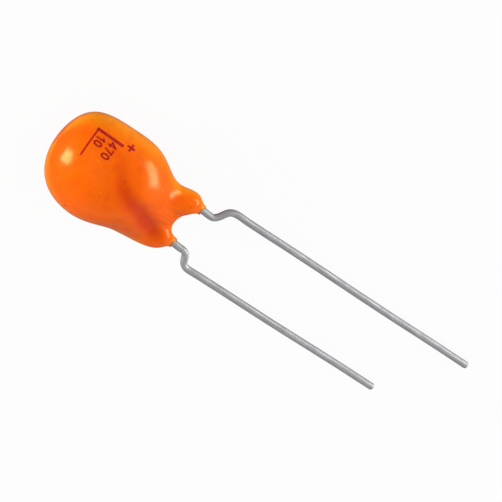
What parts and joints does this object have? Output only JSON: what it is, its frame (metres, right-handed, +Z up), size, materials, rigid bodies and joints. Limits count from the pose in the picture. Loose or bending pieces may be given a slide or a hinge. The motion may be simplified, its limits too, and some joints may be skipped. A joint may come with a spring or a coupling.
{
  "type": "tantalum capacitor",
  "caption": "Resin-dipped tantalum bead capacitor: a glossy orange pear-shaped body that forks around two kinked tinned wire leads, lying on its belly and lead tips.",
  "frame": {"origin": "on the surface that the part lies on, under the middle of its outline", "axes": "+X along the leads towards their tips, +Y towards the positive lead, +Z up, out of the marked face"},
  "size_m": [0.0344, 0.0068, 0.0059],
  "materials": {
    "epoxy": "glossy dipped resin",
    "tinned_wire": "dull tinned wire",
    "sintered_anode": "matte sintered powder metal",
    "riser_metal": "drawn wire and bare weld",
    "washer_plastic": "white waxy plastic",
    "dioxide": "black fired coating",
    "graphite": "dark grey carbon paint",
    "silver_paint": "dull silver paint",
    "solder": "bright solder"
  },
  "bodies": {
    "root": {"epoxy_coating": "epoxy", "positive_lead": "tinned_wire", "negative_lead": "tinned_wire", "anode_pellet": "sintered_anode", "riser_wire": "riser_metal", "insulating_washer": "washer_plastic", "manganese_dioxide_layer": "dioxide", "graphite_layer": "graphite", "silver_layer": "silver_paint", "cathode_solder": "solder", "weld_nugget": "riser_metal"}
  },
  "joints": []
}
